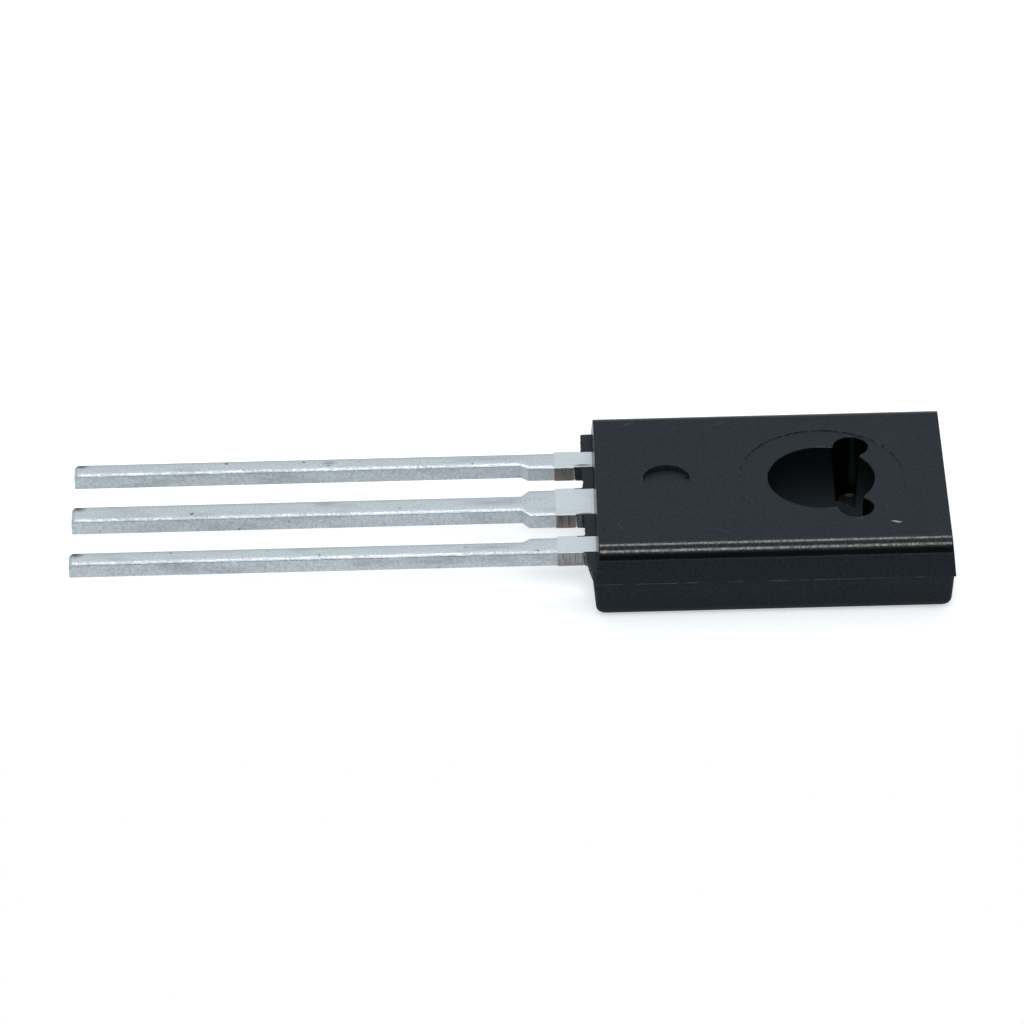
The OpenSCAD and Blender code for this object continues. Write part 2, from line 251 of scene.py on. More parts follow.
def add_box(name, low, high):
    """A box between two corners."""
    low, high = Vector(low), Vector(high)
    bpy.ops.object.select_all(action="DESELECT")
    bpy.ops.mesh.primitive_cube_add(size=1, location=(low + high) / 2)
    return place(bpy.context.object, name, high - low)


def add_round(name, radius, low, high):
    """An upright cylinder on the hole's axis, between two heights."""
    bpy.ops.object.select_all(action="DESELECT")
    bpy.ops.mesh.primitive_cylinder_add(
        vertices=160, radius=radius, depth=high - low, location=(0, 0, (low + high) / 2)
    )
    return place(bpy.context.object, name)


def apply_modifier(piece, kind, **settings):
    """Adds a modifier with its settings and applies it."""
    activate(piece)
    change = piece.modifiers.new(kind.title(), kind)
    for name, value in settings.items():
        setattr(change, name, value)
    bpy.ops.object.modifier_apply(modifier=change.name)


def carve(piece, cutter, operation="DIFFERENCE"):
    """Cuts the cutter out of the piece, or joins it on, and removes the cutter."""
    apply_modifier(piece, "BOOLEAN", object=cutter, operation=operation, solver="EXACT")
    bpy.data.objects.remove(cutter)


def round_edges(piece, radii, test_list, segments):
    """Rounds edges with one weighted bevel: the edges that pass the n-th test get the n-th width."""
    widest = max(radii)
    weights = piece.data.attributes.new("bevel_weight_edge", "FLOAT", "EDGE")
    mesh = bmesh.new()
    mesh.from_mesh(piece.data)
    mesh.normal_update()
    values = [0.0] * len(mesh.edges)
    for edge in mesh.edges:
        for radius, test in zip(radii, test_list):
            if test(edge):
                values[edge.index] = radius / widest
                break
    mesh.free()
    weights.data.foreach_set("value", values)
    apply_modifier(
        piece,
        "BEVEL",
        limit_method="WEIGHT",
        width=widest,
        segments=segments,
        use_clamp_overlap=False,
        harden_normals=False,
    )
    left = piece.data.attributes.get("bevel_weight_edge")
    if left:
        piece.data.attributes.remove(left)


def finish_piece(piece, name, materials, nodes=(), smooth=35):
    """Smooths the piece, brings it down to metres, and puts it on the frame."""
    activate(piece)
    piece.name = name
    piece.data.name = name
    for material in materials:
        piece.data.materials.append(material)
    bpy.ops.object.shade_smooth_by_angle(angle=math.radians(smooth))
    apply_modifier(piece, "WEIGHTED_NORMAL", keep_sharp=True)
    piece.scale = (MM, MM, MM)
    bpy.ops.object.transform_apply(location=True, rotation=True, scale=True)
    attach(piece, "root")
    if nodes:
        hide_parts(*nodes)


def paint(piece, index, test):
    """Gives the faces that pass the test the material with that number."""
    mesh = bmesh.new()
    mesh.from_mesh(piece.data)
    mesh.normal_update()
    for face in mesh.faces:
        if test(face.calc_center_median(), face.normal):
            face.material_index = index
    mesh.to_mesh(piece.data)
    mesh.free()


def arc(centre, radius, start, end, steps):
    """Points of an arc from one angle to another, in radians, without the last one."""
    turns = (start + (end - start) * i / steps for i in range(steps))
    return [(centre[0] + radius * math.cos(t), centre[1] + radius * math.sin(t)) for t in turns]


def loft(name, rings):
    """A closed solid through rings of points, extruded from one ring to the next."""
    bpy.ops.object.select_all(action="DESELECT")
    bpy.ops.mesh.primitive_circle_add(vertices=len(rings[0]), fill_type="NGON")
    piece = place(bpy.context.object, name)
    for vertex, point in zip(piece.data.vertices, rings[0]):
        vertex.co = point
    activate(piece)
    bpy.ops.object.mode_set(mode="EDIT")
    bpy.ops.mesh.select_mode(type="FACE")
    bpy.ops.mesh.select_all(action="SELECT")
    for before, after in zip(rings, rings[1:]):
        bpy.ops.mesh.extrude_region_move()
        mesh = bmesh.from_edit_mesh(piece.data)
        for vertex in [v for v in mesh.verts if v.select]:
            nearest = min(range(len(before)), key=lambda i: (Vector(before[i]) - vertex.co).length_squared)
            vertex.co = after[nearest]
        bmesh.update_edit_mesh(piece.data)
    bpy.ops.mesh.select_all(action="SELECT")
    bpy.ops.mesh.remove_doubles(threshold=0.0001)
    bpy.ops.mesh.normals_make_consistent(inside=False)
    bpy.ops.object.mode_set(mode="OBJECT")
    return piece


# Materials


def add_node(tree, kind, inputs=(), **settings):
    """Adds a node with its settings, and sets or links its inputs.

    inputs are in the order of the node's sockets, or are given by socket name or number.
    A node among them is linked by its first output.
    """
    made = tree.nodes.new(kind)
    for name, value in settings.items():
        setattr(made, name, value)
    for socket, value in inputs.items() if isinstance(inputs, dict) else enumerate(inputs):
        if isinstance(value, bpy.types.Node):
            value = value.outputs[0]
        if isinstance(value, bpy.types.NodeSocket):
            tree.links.new(value, made.inputs[socket])
        else:
            made.inputs[socket].default_value = value
    return made


def new_material(name):
    """An empty node material and its tree."""
    material = bpy.data.materials.new(name)
    material.use_nodes = True
    material.node_tree.nodes.clear()
    return material, material.node_tree


def spot(tree, where, centre, size, turn=0, height=CASE_HIGH.z):
    """A soft mask of a long spot at a height: 1 in its middle, 0 outside it.

    centre, half size and height are in millimetres, turn is in degrees.
    """
    moved = add_node(
        tree,
        "ShaderNodeMapping",
        {
            "Vector": where,
            "Location": (centre[0] * MM, centre[1] * MM, height * MM),
            "Rotation": (0, 0, math.radians(turn)),
            "Scale": (size[0] * MM, size[1] * MM, SPOT_DEPTH * MM),
        },
        vector_type="TEXTURE",
    )
    ball = add_node(tree, "ShaderNodeTexGradient", (moved,), gradient_type="SPHERICAL")
    return ball.outputs["Fac"]


def near(tree, value, target, width):
    """A mask that is 1 where a value is within half a width of a target, and 0 past the width."""
    off = add_node(tree, "ShaderNodeMath", (value, target), operation="SUBTRACT")
    far = add_node(tree, "ShaderNodeMath", (off,), operation="ABSOLUTE")
    return add_node(tree, "ShaderNodeMapRange", (far, width / 2, width, 1, 0))


def lay_over(tree, tone, *layers):
    """Lays colours over a tone. A layer is a mask, the strength of its colour there, and the colour."""
    for mask, strength, over in layers:
        seen = add_node(tree, "ShaderNodeMath", (mask, strength), operation="MULTIPLY", use_clamp=True)
        mixed = add_node(tree, "ShaderNodeMix", {0: seen, 6: tone, 7: (*over, 1)}, data_type="RGBA")
        tone = mixed.outputs[2]
    return tone


def epoxy_material(
    name,
    base,
    colours,
    roughness,
    grain,
    shine=0.2,
    speckle=0.45,
    rubbed_and_highlights=False,
    brushed=0,
    painted_streak=False,
    painted_foot_light=None,
):
    """Epoxy moulding compound, black and filled with silica.

    The spark-eroded mould leaves an even fine grain, so the light on it is broad and soft.
    grain is the depth of that in millimetres, and speckle is how much of the filler shows.
    rubbed_and_highlights adds the wear of handling, the mould's light edges, which are partly
    painted highlights, and the painted shade of a pit. brushed is the depth in millimetres of fine
    strokes across the long edges. painted_streak adds a painted highlight, a light upright streak
    down the walls of the ears. painted_foot_light is the colour of painted light at the foot of a
    hole, which leaves the wall darker towards the front as painted shade.
    """
    material, tree = new_material(name)
    where = add_node(tree, "ShaderNodeTexCoord").outputs["Object"]
    place_on = add_node(tree, "ShaderNodeSeparateXYZ", (where,)).outputs
    # Grain of the eroded mould, about 0.07 mm
    fine = add_node(tree, "ShaderNodeTexNoise", {"Vector": where, "Scale": 1 / (0.07 * MM), "Detail": 3})
    filler = add_node(tree, "ShaderNodeMapRange", (fine, 0.3, 0.8, 0, speckle))
    tone = lay_over(tree, (*base, 1), (filler, 1, colours.epoxy_worn_and_highlight))
    # Painted light and shade down a hole: its wall turns to a lighter colour towards the back and stays
    # darker near the front
    if painted_foot_light is not None:
        matt = add_node(tree, "ShaderNodeMapRange", (place_on["Z"], 0.4 * MM, 2.35 * MM, 1, 0))
        tone = lay_over(tree, tone, (matt, matt, painted_foot_light))
    # Painted highlight: a light upright streak down the walls of the ears
    if painted_streak:
        strip = near(tree, place_on["X"], 1.07 * MM, 0.09 * MM)
        above = add_node(tree, "ShaderNodeMapRange", (place_on["Z"], 1.0 * MM, 1.25 * MM, 0, 0.16))
        tone = lay_over(tree, tone, (strip, above, colours.epoxy_worn_and_highlight))
    if rubbed_and_highlights:
        tone = wear_and_painted_light(tree, where, tone, colours)
    # Flow marks of the compound, about 1.5 mm across
    flow = add_node(tree, "ShaderNodeTexNoise", {"Vector": where, "Scale": 1 / (1.5 * MM), "Detail": 4})
    rough = add_node(tree, "ShaderNodeMapRange", (flow, 0.3, 0.7, roughness - 0.04, roughness + 0.04))
    bump = add_node(tree, "ShaderNodeBump", {"Height": fine, "Strength": 1, "Distance": grain * MM})
    if brushed:
        # Strokes 0.1 mm apart break the light along the edge into sparkles, and fade out down the wall
        across = add_node(tree, "ShaderNodeMapping", {"Vector": where, "Scale": (1, 0.4, 0.4)})
        inputs = {"Vector": across, "Scale": 1 / (0.1 * MM), "Detail": 2}
        strokes = add_node(tree, "ShaderNodeTexNoise", inputs)
        fade = ((CASE_HIGH.z - 0.2) * MM, (CASE_HIGH.z - 0.14) * MM)
        lit = add_node(tree, "ShaderNodeMapRange", (place_on["Z"], *fade))
        bump = add_node(
            tree,
            "ShaderNodeBump",
            {"Height": strokes, "Strength": lit, "Distance": brushed * MM, "Normal": bump},
        )
        spread = (roughness - 0.09, roughness + 0.1)
        uneven = add_node(tree, "ShaderNodeMapRange", (strokes, 0.35, 0.65, *spread))
        rough = add_node(tree, "ShaderNodeMix", {0: lit, 2: rough, 3: uneven})
    shader = add_node(
        tree,
        "ShaderNodeBsdfPrincipled",
        {"Base Color": tone, "Roughness": rough, "IOR": 1.5, "Specular IOR Level": shine, "Normal": bump},
    )
    add_node(tree, "ShaderNodeOutputMaterial", (shader,))
    return material


def wear_and_painted_light(tree, where, tone, colours):
    """Lays the mould's light edges, partly painted highlights, the marks of handling and the painted shade of
    a pit over the epoxy's tone.
    """
    # Broken light edge where the two halves of the mould met: partly rubbed flash, partly a painted highlight
    # along the thin edge
    height = add_node(tree, "ShaderNodeSeparateXYZ", (where,)).outputs["Z"]
    parting = near(tree, height, LEAD_LOW.z * MM, 0.03 * MM)
    gaps = add_node(tree, "ShaderNodeTexNoise", {"Vector": where, "Scale": 1 / (0.5 * MM), "Detail": 6})
    broken = add_node(tree, "ShaderNodeMapRange", (gaps, 0.45, 0.75, 0.05, 1))
    # The same light edge at the recess round the hole, in dots: a painted highlight
    plan = add_node(tree, "ShaderNodeMapping", {"Vector": where, "Scale": (1, 1, 0)})
    reach = add_node(tree, "ShaderNodeVectorMath", (plan,), operation="LENGTH").outputs["Value"]
    edge = near(tree, reach, bpy.context.scene.thyristor_case.ring_radius, 0.04 * MM)
    dots = add_node(tree, "ShaderNodeTexNoise", {"Vector": where, "Scale": 1 / (0.16 * MM), "Detail": 2})
    dotted = add_node(tree, "ShaderNodeMapRange", (dots, 0.5, 0.75, 0, 0.35))
    rubbed_and_highlights = colours.epoxy_rubbed_and_highlight
    tone = lay_over(tree, tone, (parting, broken, rubbed_and_highlights), (edge, dotted, rubbed_and_highlights))
    # Scuff beside the hole, and hair scratches and specks: place, half size, turn, strength
    for centre, size, turn, strength in (
        ((2.13, -2.53), (0.16, 0.05), -14, 1),
        ((2.24, -2.58), (0.12, 0.04), 8, 0.8),
        ((-6.24, -2.45), (0.29, 0.03), -65, 0.07),
        ((-3.2, -2.77), (0.32, 0.03), -24, 0.05),
        ((-3.0, 3.05), (0.4, 0.05), 25, 0.04),
        ((-5.9, 3.1), (0.3, 0.05), 35, 0.08),
        ((1.1, -1.95), (0.1, 0.05), 0, 0.08),
        ((-4.17, 0.47), (0.06, 0.07), 0, 0.15),
        ((-5.49, 0.1), (0.07, 0.07), 0, 0.12),
    ):
        scuff = spot(tree, where, centre, size, turn)
        tone = lay_over(tree, tone, (scuff, strength, colours.epoxy_scuffed))
    # Painted shade of a small pit at the side of the ejector mark: a dark spot
    pit_shade = spot(tree, where, (-4.14, 0.27), (0.15, 0.1), -40, CASE_HIGH.z - 0.1)
    pit_shade = add_node(tree, "ShaderNodeMapRange", (pit_shade, 0.1, 0.4))
    return lay_over(tree, tone, (pit_shade, 1, colours.epoxy_pin_and_shade))


def tin_material(name, colours):
    """Electroplated matt tin over copper strip: a dull grey metal with a fine grain and scuffs."""
    material, tree = new_material(name)
    where = add_node(tree, "ShaderNodeTexCoord").outputs["Object"]
    top = LEAD_HIGH.z
    # Plating grain of about 0.07 mm
    grain = add_node(tree, "ShaderNodeTexNoise", {"Vector": where, "Scale": 1 / (0.07 * MM), "Detail": 3})
    dull = add_node(tree, "ShaderNodeMapRange", (grain, 0.3, 0.7))
    # Handling scuffs of about 0.6 mm, drawn out along the strip
    along = add_node(tree, "ShaderNodeMapping", {"Vector": where, "Scale": (0.35, 1, 1)})
    scuffs = add_node(tree, "ShaderNodeTexNoise", {"Vector": along, "Scale": 1 / (0.6 * MM), "Detail": 7})
    scuffed = add_node(tree, "ShaderNodeMapRange", (scuffs, 0.52, 0.75, 0, 0.5))
    tone = lay_over(tree, (*colours.tin, 1), (dull, 1, colours.tin_dull), (scuffed, 1, colours.tin_scuffed))
    # Marks of the trimming tool on the three leads, and two smudges nearer their tips
    for centre, size, strength in (
        ((-10.2, 2.45), (1.6, 0.15), 0.4),
        ((-10.1, 0.05), (1.2, 0.2), 0.6),
        ((-10.2, -2.35), (1, 0.16), 0.6),
        ((-15.2, 2.45), (0.3, 0.15), 1),
        ((-15.3, 0.2), (0.5, 0.22), 0.6),
    ):
        mark = spot(tree, where, centre, size, 0, top)
        tone = lay_over(tree, tone, (mark, strength, colours.tin_scuffed))
    # Dark specks of dirt, about 0.1 mm
    specks = add_node(tree, "ShaderNodeTexNoise", {"Vector": where, "Scale": 1 / (0.3 * MM), "Detail": 6})
    dirt = add_node(tree, "ShaderNodeMapRange", (specks, 0.68, 0.74, 0, 0.8))
    # The dam bar kept its part of the leads untouched, so they stay whiter from there to the case
    reach = add_node(tree, "ShaderNodeSeparateXYZ", (where,)).outputs["X"]
    lead = millimetres(bpy.context.scene.thyristor_leads)
    kept_from = (lead_end() - lead.bar_gap - lead.bar_width) * MM
    kept = add_node(tree, "ShaderNodeMapRange", (reach, kept_from - 0.02 * MM, kept_from + 0.02 * MM))
    tone = lay_over(tree, tone, (dirt, 1, colours.tin_dirt), (kept, 0.7, colours.tin_kept))
    # Brown resin that crept along the near edges of two leads, beside the case
    for centre in ((-7.3, 1.98), (-7.25, -0.68)):
        crept = spot(tree, where, centre, (0.38, 0.08), 0, top)
        crept = add_node(tree, "ShaderNodeMapRange", (crept, 0.1, 0.6, 0, 0.8))
        tone = lay_over(tree, tone, (crept, 1, colours.copper))
    # Dark spot at the far corner of each tip
    for place_y, size in ((2.6, 0.16), (0.28, 0.2), (-2.2, 0.2)):
        tip_spot = spot(tree, where, (LEAD_LOW.x + 0.2, place_y), (0.32, size), 0, top)
        tone = lay_over(tree, tone, (tip_spot, 1, colours.tin_dirt))
    # Smoother where it is scuffed less, and along a burnished stretch of the gate lead's edge
    burnished = spot(tree, where, (-12.6, -2.68), (1.7, 0.14), 0, top)
    rough = add_node(tree, "ShaderNodeMapRange", (scuffs, 0.3, 0.7, 0.4, 0.5))
    for part in (
        add_node(tree, "ShaderNodeMapRange", (grain, 0.3, 0.7, 0.75, 1.25)),
        add_node(tree, "ShaderNodeMapRange", (burnished, 0, 0.5, 1, 0.8)),
    ):
        rough = add_node(tree, "ShaderNodeMath", (rough, part), operation="MULTIPLY", use_clamp=True)
    bump = add_node(tree, "ShaderNodeBump", {"Height": grain, "Strength": 1, "Distance": 0.009 * MM})
    shader = add_node(
        tree,
        "ShaderNodeBsdfPrincipled",
        {"Base Color": tone, "Metallic": 1, "Roughness": rough, "Normal": bump},
    )
    add_node(tree, "ShaderNodeOutputMaterial", (shader,))
    return material


def copper_material(name, colours, foot):
    """Sheared copper: tarnished and streaked by the punch, with a bright torn edge at its foot."""
    material, tree = new_material(name)
    where = add_node(tree, "ShaderNodeTexCoord").outputs["Object"]
    place_on = add_node(tree, "ShaderNodeSeparateXYZ", (where,)).outputs
    # Punch streaks stand upright and are about 0.05 mm apart
    upright = add_node(tree, "ShaderNodeMapping", {"Vector": where, "Scale": (1, 1, 0.08)})
    streaks = add_node(tree, "ShaderNodeTexNoise", {"Vector": upright, "Scale": 1 / (0.05 * MM), "Detail": 3})
    grey = add_node(tree, "ShaderNodeMapRange", (streaks, 0.3, 0.7))
    # The outer cut of the gate lead is paler
    outer = add_node(tree, "ShaderNodeMapRange", (place_on["Y"], -2.3 * MM, -2.2 * MM, 1, 0))
    pale = add_node(tree, "ShaderNodeMapRange", (streaks, 0.35, 0.65, 0.25, 0.8))
    torn = add_node(
        tree, "ShaderNodeMapRange", (place_on["Z"], (foot + 0.04) * MM, (foot + 0.17) * MM, 0.7, 0)
    )
    tone = lay_over(
        tree,
        (*colours.copper, 1),
        (grey, 1, colours.copper_grey),
        (outer, pale, colours.tin_dull),
        (torn, 1, colours.copper_bright),
    )
    bump = add_node(tree, "ShaderNodeBump", {"Height": streaks, "Strength": 1, "Distance": 0.008 * MM})
    shader = add_node(
        tree,
        "ShaderNodeBsdfPrincipled",
        {"Base Color": tone, "Metallic": 0.6, "Roughness": 0.5, "Normal": bump},
    )
    add_node(tree, "ShaderNodeOutputMaterial", (shader,))
    return material


def resin_material(name, thick, thin, size, glint_colour=None, patches=()):
    """A film of resin over tin, thick and thin in spots of a size in millimetres; it also paints shade on the
    tab's tin at the foot of the ears.

    glint_colour is the colour of the painted glints that are laid in patches at the given places.
    """
    material, tree = new_material(name)
    where = add_node(tree, "ShaderNodeTexCoord").outputs["Object"]
    film = add_node(tree, "ShaderNodeTexNoise", {"Vector": where, "Scale": 1 / (size * MM), "Detail": 4})
    thinner = add_node(tree, "ShaderNodeMapRange", (film, 0.35, 0.65))
    tone = lay_over(tree, (*thick, 1), (thinner, 1, thin))
    # Painted glints in patches
    for patch in patches:
        glint_patch = spot(tree, where, patch, (0.17, 0.12), 0, LEAD_HIGH.z - LEAD_LOW.z)
        glint_patch = add_node(tree, "ShaderNodeMapRange", (glint_patch, 0.15, 0.4))
        tone = lay_over(tree, tone, (glint_patch, 1, glint_colour))
    bump = add_node(tree, "ShaderNodeBump", {"Height": film, "Strength": 1, "Distance": 0.01 * MM})
    shader = add_node(
        tree, "ShaderNodeBsdfPrincipled", {"Base Color": tone, "Roughness": 0.5, "Normal": bump}
    )
    add_node(tree, "ShaderNodeOutputMaterial", (shader,))
    return material


def inner_material(name, value, metallic, roughness, grain):
    """Plain finish of a piece inside the case, with a fine grain of its own size in millimetres."""
    material, tree = new_material(name)
    where = add_node(tree, "ShaderNodeTexCoord").outputs["Object"]
    fine = add_node(tree, "ShaderNodeTexNoise", {"Vector": where, "Scale": 1 / (grain * MM), "Detail": 4})
    rough = add_node(tree, "ShaderNodeMapRange", (fine, 0.3, 0.7, roughness * 0.8, roughness * 1.2))
    bump = add_node(tree, "ShaderNodeBump", {"Height": fine, "Strength": 1, "Distance": grain * MM / 20})
    shader = add_node(
        tree,
        "ShaderNodeBsdfPrincipled",
        {"Base Color": (*value, 1), "Metallic": metallic, "Roughness": rough, "Normal": bump},
    )
    add_node(tree, "ShaderNodeOutputMaterial", (shader,))
    return material


# Places that several pieces share, in millimetres


def lead_end():
    """Place of the case's lead end along X."""
    return CASE_HIGH.x - bpy.context.scene.thyristor_case.length / MM


def millimetres(group):
    """The sizes of a property group in millimetres, and its angles in radians."""
    found = {}
    for key, prop in group.bl_rna.properties.items():
        if prop.type == "FLOAT" and not prop.is_array:
            found[key] = getattr(group, key) / (MM if prop.unit == "LENGTH" else 1)
    return type("Sizes", (), found)


def hole_ring(sizes, height, grow=0.0, lip=None, ear_height=None):
    """Ring of points round the screw hole and its two ears, with rounded cusps between them.

    Given a lip, the ring leaves the ears out, and is pushed out by the lip under them.
    ear_height is the height at which the ears are measured, when it isn't the ring's own.
    """
    # Numbers of points round the hole up to the ear, a cusp, the ear, and the hole after it
    front, cusp_steps, ear_steps, back = 20, 6, 28, 60
    between = 2 * cusp_steps + ear_steps
    ear_height = height if ear_height is None else ear_height
    drafted = sizes.ear_radius - (CASE_HIGH.z - ear_height) * math.tan(sizes.ear_draft)
    hole, ear_radius, cusp = sizes.hole_radius + grow, drafted + grow, sizes.cusp_radius - grow
    ear = Vector((sizes.ear_x, sizes.ear_y))
    ear_turn = math.atan2(ear.y, ear.x)
    reach, ear_reach = hole + cusp, ear_radius + cusp
    spread = math.acos((reach**2 + ear.length_squared - ear_reach**2) / (2 * reach * ear.length))
    first, last = ear_turn - spread, ear_turn + spread

    def cusp_arc(turn, into_ear):
        """Points round a cusp, in the order of the ring."""
        centre = Vector((reach * math.cos(turn), reach * math.sin(turn)))
        to_hole = math.atan2(-centre.y, -centre.x)
        to_ear = math.atan2(ear.y - centre.y, ear.x - centre.x)
        sweep = (to_ear - to_hole + math.pi) % (2 * math.pi) - math.pi
        if into_ear:
            return arc(centre, cusp, to_hole, to_hole + sweep, cusp_steps)
        return arc(centre, cusp, to_hole + sweep, to_hole, cusp_steps)

    right = Vector((reach * math.cos(first), reach * math.sin(first))) - ear
    left = Vector((reach * math.cos(last), reach * math.sin(last))) - ear
    ear_start = math.atan2(right.y, right.x)
    ear_sweep = (math.atan2(left.y, left.x) - ear_start) % (2 * math.pi)
    upper = (
        arc((0, 0), hole, 0, first, front)
        + cusp_arc(first, True)
        + arc(ear, ear_radius, ear_start, ear_start + ear_sweep, ear_steps)
        + cusp_arc(last, False)
        + arc((0, 0), hole, last, math.pi, back)
        + [(-hole, 0)]
    )
    if lip is not None:
        # The same number of points round the plain hole, pushed out by the lip under the ears,
        # which fades in and out over a few points
        fade = 4
        bulge = [lip * min(1, i / fade, (between - i) / fade) for i in range(between)]
        turns = (first + (last - first) * i / between for i in range(between))
        under = [((hole + out) * math.cos(t), (hole + out) * math.sin(t)) for out, t in zip(bulge, turns)]
        upper = upper[:front] + under + upper[front + between :]
    lower = [(x, -y) for x, y in reversed(upper[1:-1])]
    return [(x, y, height) for x, y in upper + lower]


def round_ring(centre, radius, height, steps=128):
    """Ring of points round a circle."""
    return [(x, y, height) for x, y in arc(centre, radius, 0, 2 * math.pi, steps)]


def flare(ring, height, radius, steps=4):
    """Rings that open a hole into a face over it through a rounded edge.

    ring gives the hole's ring at a height, grown by a distance.
    """
    rings = []
    for step in range(steps + 1):
        turn = math.pi / 2 * step / steps
        rings.append(ring(height - radius + radius * math.sin(turn), radius * (1 - math.cos(turn))))
    rings.append(ring(height + PAST, radius))
    return rings


class THYRISTOR_OT_case(bpy.types.Operator):
    """Models the moulded epoxy case"""

    bl_idname = "thyristor.case"
    bl_label = "Moulded case"

    def execute(self, context):
        colours = context.scene.thyristor_colours
        s = millimetres(context.scene.thyristor_case)
        lead = millimetres(context.scene.thyristor_leads)
        start, end, half = lead_end(), CASE_HIGH.x, CASE_HIGH.y
        top, parting = CASE_HIGH.z, LEAD_LOW.z
        case = loft("moulded_case_body", self.upper_rings(s, start, end))
        carve(case, loft("lower_half", self.lower_rings(s, start - s.shift, end - s.ledge)), "UNION")

        # Screw hole with its two ears, the recess about it, and the ejector-pin mark.
        # The ears go a hair into the tab, so that they end on the metal.
        floor = FRAME_LOW.z + (LEAD_HIGH.z - LEAD_LOW.z)
        foot = floor - 5 * STEP
        rim = top - s.ring_depth
        mark = (start + s.mark_place, s.mark_shift)

        def ears(height, grow=0.0):
            return hole_ring(s, height, grow)

        def recess(height, grow=0.0):
            return round_ring((0, 0), s.ring_radius + grow, height)

        def stamp(height, grow=0.0):
            return round_ring(mark, s.mark_radius + grow, height, 96)

        def back_hole(height, grow=0.0):
            return hole_ring(s, -height, grow, 0, foot)

        carve(case, loft("recess", [recess(rim), *flare(recess, top, s.edge_break / 2)]))
        # The hole from the back, its lip under the ears, the foot of the ears, and the rim
        hole = list(reversed(flare(back_hole, 0, s.edge_break)))
        lip_steps = 3
        for step in range(lip_steps + 1):
            turn = math.pi / 2 * step / lip_steps
            lip = s.lip_radius * (1 - math.cos(turn))
            hole.append(hole_ring(s, foot - s.lip_radius * (1 - math.sin(turn)), 0, lip, foot))
        hole += [ears(foot), *flare(ears, rim, s.rim_radius)]
        carve(case, loft("hole", hole))
        # The pin stood askew, so the mark runs out towards the near side
        slope = 0.38
        low = [
            (x, y, top - s.mark_depth * (1 - slope + slope * (y - mark[1]) / s.mark_radius))
            for x, y, _ in stamp(top)
        ]
        carve(case, loft("mark", [low, *flare(stamp, top, s.edge_break / 2)]))

        # Pocket that the tab fills, open at the back, with the lining left standing in its hole
        tab_start = start + lead.tab_from_end
        tab_end, tab_side = FRAME_HIGH.x, FRAME_HIGH.y
        pocket = add_box(
            "pocket",
            (tab_start, -tab_side + lead.lock_width, -PAST),
            (tab_end - lead.lock_width, tab_side - lead.lock_width, floor),
        )
        carve(
            pocket,
            add_box("step", (tab_start, -tab_side, lead.lock_height), (tab_end, tab_side, floor)),
            "UNION",
        )
        lining = s.hole_radius + s.lining
        carve(pocket, add_round("lining", lining, -2 * PAST, floor + PAST))
        carve(case, pocket)

        # Finishes of the walls that the mould and its pins form, by the number of their material
        polished, pin_polished, matt_shaded_hole, end_wall, mark_wall = range(1, 6)

        def on_long_edge(c, n):
            rounded = 0.095 < n.z < 0.9995 and abs(n.x) < 0.1
            return rounded and c.z > top - s.front_radius - 0.02 and abs(c.y) > half - 0.7

        def in_hole(c, n, radius):
            upright = 0.01 < c.z < rim - 0.01 and abs(n.z) < 0.97
            return upright and math.hypot(c.x, c.y) < radius

        def in_mark(c, n):
            upright = c.z > top - s.mark_depth and abs(n.z) < 0.5
            return upright and math.hypot(c.x - mark[0], c.y - mark[1]) < s.mark_radius + 0.005

        def on_near_rim(c, n):
            rounded = rim - s.rim_radius < c.z < rim and 0.05 < n.z < 0.99 and n.y < -0.2
            return rounded and math.hypot(c.x, c.y) < s.ring_radius - 0.05

        def on_lip(c, n):
            out = math.hypot(c.x, c.y) - s.hole_radius
            return foot - 1.1 * s.lip_radius < c.z < foot - STEP and STEP < out < s.lip_radius

        for index, test in (
            (polished, on_long_edge),
            # The ears' walls, with a painted highlight streak
            (pin_polished, lambda c, n: in_hole(c, n, s.ring_radius - 0.015)),
            # The hole's wall, with painted shade near the front and painted light towards the back
            (matt_shaded_hole, lambda c, n: in_hole(c, n, s.hole_radius + 0.005)),
            (mark_wall, in_mark),
            (end_wall, lambda c, n: n.x < -0.9 and c.z > parting and c.x < start + 0.5),
            (polished, on_near_rim),
            (polished, on_lip),
        ):
            paint(case, index, test)
        finish_piece(
            case,
            "moulded_case_body",
            (
                epoxy_material("moulded_epoxy", colours.epoxy, colours, 0.5, 0.004, rubbed_and_highlights=True),
                epoxy_material(
                    "polished_epoxy", colours.epoxy_polished, colours, 0.19, 0.003, 0.5, 0.1, brushed=0.007
                ),
                # Pin-polished ears, with a painted highlight streak
                epoxy_material(
                    "pin_polished_epoxy_painted_streak", colours.epoxy_pin_and_shade, colours, 0.1, 0.001, 0.05, 0.03, painted_streak=True
                ),
                # The hole's wall: painted shade near the front, painted light towards the back
                epoxy_material(
                    "hole_epoxy_painted_shade", colours.epoxy_pin_and_shade, colours, 0.6, 0.004, 0.08, 0.03, painted_foot_light=colours.epoxy_hole_painted_light
                ),
                epoxy_material("end_wall_epoxy", colours.epoxy, colours, 0.25, 0.002, 0.5),
                epoxy_material("mark_wall_epoxy", colours.epoxy_mark, colours, 0.6, 0.01, 0.1, 0.8),
            ),
            ("moulded_case",),
        )
        return {"FINISHED"}

